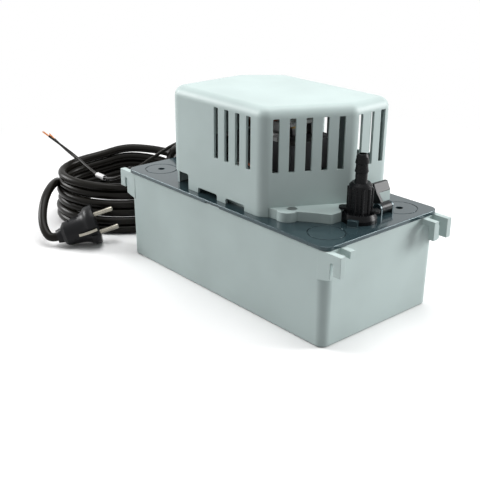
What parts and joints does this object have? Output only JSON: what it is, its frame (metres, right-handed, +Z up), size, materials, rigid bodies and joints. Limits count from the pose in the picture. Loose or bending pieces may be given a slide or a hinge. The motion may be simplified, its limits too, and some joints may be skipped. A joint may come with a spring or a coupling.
{
  "type": "condensate pump",
  "caption": "Condensate pump: drafted tank with wall ears, flat cover, vented motor hood, barbed check valve, float gear, coiled mains lead with round plug and alarm lead.",
  "frame": {"origin": "centre of the tank's base, on the surface it stands on", "axes": "+X along the tank towards the check valve, +Y across it to the far side, +Z up"},
  "size_m": [0.4524, 0.1931, 0.169],
  "materials": {
    "housing": "satin",
    "cover": "gloss",
    "valve": "satin",
    "pump_plastic": "satin",
    "black_rubber": "matte",
    "plug": "satin",
    "steel": "satin",
    "lamination": "matte",
    "copper": "satin",
    "bronze": "satin",
    "inner_plastic": "satin",
    "switch_plastic": "satin",
    "float_plastic": "satin"
  },
  "bodies": {
    "pump_unit": {"alarm_conductors": "copper", "alarm_lead": "black_rubber", "alarm_relief": "black_rubber", "alarm_switch": "switch_plastic", "coil_bobbin": "inner_plastic", "discharge_pipe": "pump_plastic", "float_pin": "steel", "latch_pin": "steel", "lower_bridge": "steel", "lower_bush": "bronze", "mains_coil": "black_rubber", "mains_lead": "black_rubber", "mains_relief": "black_rubber", "mains_tail": "black_rubber", "motor_hood": "housing", "motor_screws": "steel", "plate_screw": "steel", "plug_body": "plug", "plug_clips": "bronze", "plug_pins": "steel", "pump_column": "pump_plastic", "pump_gasket": "black_rubber", "pump_plate": "housing", "pump_switch": "switch_plastic", "stator_stack": "lamination", "stator_windings": "copper", "switch_bracket": "steel", "tank": "housing", "tank_cover": "cover", "terminal_block": "inner_plastic", "upper_bridge": "steel", "upper_bush": "bronze", "volute_casing": "pump_plastic", "volute_cover": "pump_plastic"},
    "rotor": {"motor_shaft": "steel", "rotor_core": "lamination", "impeller": "pump_plastic", "cooling_fan": "inner_plastic"},
    "float": {"float_body": "float_plastic", "float_arm": "inner_plastic"},
    "push_rod": {"push_rod": "inner_plastic"},
    "switch_levers": {"pump_switch_lever": "steel", "alarm_switch_lever": "steel"},
    "valve": {"check_valve": "valve", "valve_o_ring": "black_rubber"},
    "valve_ball": {"valve_ball": "float_plastic"},
    "latch": {"latch": "cover"}
  },
  "joints": [
    {"name": "motor_spin", "type": "hinge", "parent": "pump_unit", "child": "rotor", "pos_m": [0.028, -0.004, 0.12], "axis": [0, 0, 1], "continuous": true},
    {"name": "float_swing", "type": "hinge", "parent": "pump_unit", "child": "float", "pos_m": [-0.028, -0.004, 0.068], "axis": [0, 1, 0], "range_deg": [0, 20]},
    {"name": "rod_lift", "type": "slide", "parent": "pump_unit", "child": "push_rod", "axis": [0, 0, 1], "range_m": [0, 0.0061]},
    {"name": "lever_swing", "type": "hinge", "parent": "pump_unit", "child": "switch_levers", "pos_m": [-0.058, -0.004, 0.104], "axis": [0, -1, 0], "range_deg": [0, 18.8]},
    {"name": "valve_twist", "type": "hinge", "parent": "pump_unit", "child": "valve", "pos_m": [0.1015, -0.0035, 0.09], "axis": [0, 0, 1], "range_deg": [0, 45]},
    {"name": "ball_lift", "type": "slide", "parent": "valve", "child": "valve_ball", "axis": [0, 0, 1], "range_m": [0, 0.005]},
    {"name": "latch_swing", "type": "hinge", "parent": "pump_unit", "child": "latch", "pos_m": [0.103, 0.0232, 0.0876], "axis": [0, 1, 0], "range_deg": [0, 75]}
  ],
  "couplings": [
    {"joint": "rod_lift", "follows": "float_swing", "m_per_rad": 0.0173},
    {"joint": "lever_swing", "follows": "float_swing", "ratio": 0.9375}
  ]
}
